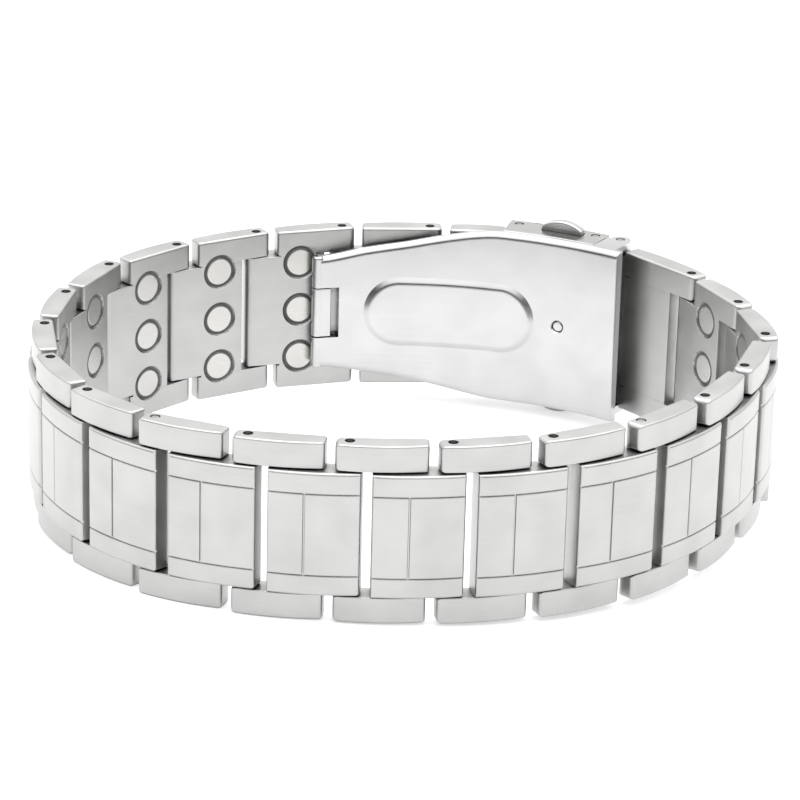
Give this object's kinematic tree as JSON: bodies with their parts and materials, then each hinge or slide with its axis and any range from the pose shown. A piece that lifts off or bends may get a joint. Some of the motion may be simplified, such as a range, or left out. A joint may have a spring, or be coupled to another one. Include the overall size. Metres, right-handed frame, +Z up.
{
  "type": "magnetic bracelet",
  "caption": "Closed bracelet of jointed steel links with round magnets set in their backs and a folding clasp that two side buttons release.",
  "frame": {"origin": "centre of the bracelet's box, on the surface that it rests on", "axes": "+Z up, +X along the longer way across the loop, +Y towards the clasp. The loop leans by 1.6 degrees, because it rests on its lower button and the rim across from it"},
  "size_m": [0.0759, 0.0668, 0.0219],
  "materials": {
    "link_steel": "satin stainless steel with bright edges",
    "blade_steel": "bright polished stainless sheet",
    "clasp_steel": "polished stainless sheet",
    "button_steel": "polished steel, darker than the links",
    "pin_steel": "drawn steel wire, cut ends",
    "magnet_nickel": "nickel plating, slightly dull"
  },
  "bodies": {
    "bracelet": {"link_01": "link_steel", "link_02": "link_steel", "link_03": "link_steel", "link_04": "link_steel", "link_05": "link_steel", "link_06": "link_steel", "link_07": "link_steel", "link_08": "link_steel", "link_09": "link_steel", "link_10": "link_steel", "link_11": "link_steel", "link_12": "link_steel", "link_13": "link_steel", "link_14": "link_steel", "link_15": "link_steel", "link_16": "link_steel", "link_17": "link_steel", "link_18": "link_steel", "link_19": "link_steel", "magnets_01": "magnet_nickel", "magnets_02": "magnet_nickel", "magnets_03": "magnet_nickel", "magnets_04": "magnet_nickel", "magnets_05": "magnet_nickel", "magnets_06": "magnet_nickel", "magnets_07": "magnet_nickel", "magnets_08": "magnet_nickel", "magnets_09": "magnet_nickel", "magnets_10": "magnet_nickel", "magnets_11": "magnet_nickel", "magnets_12": "magnet_nickel", "magnets_13": "magnet_nickel", "magnets_14": "magnet_nickel", "magnets_15": "magnet_nickel", "magnets_16": "magnet_nickel", "magnets_17": "magnet_nickel", "magnets_18": "magnet_nickel", "magnets_19": "magnet_nickel", "end_link_cover": "link_steel", "end_link_blade": "link_steel", "link_pins": "pin_steel", "cover": "clasp_steel", "blade_inner": "blade_steel", "blade_middle": "clasp_steel", "pin_cover": "pin_steel", "pin_fold": "pin_steel", "pin_blade": "pin_steel", "pin_knuckle": "pin_steel"},
    "upper_button": {"button_upper": "button_steel"},
    "lower_button": {"button_lower": "button_steel"}
  },
  "joints": [
    {"name": "upper_button_press", "type": "slide", "parent": "bracelet", "child": "upper_button", "axis": [0.0168, 0.0229, -0.9996], "range_m": [0, 0.0008], "stiffness_N_per_m": 1600, "springref_m": -0.0008},
    {"name": "lower_button_press", "type": "slide", "parent": "bracelet", "child": "lower_button", "axis": [-0.0168, -0.0229, 0.9996], "range_m": [0, 0.0008], "stiffness_N_per_m": 1600, "springref_m": -0.0008}
  ]
}
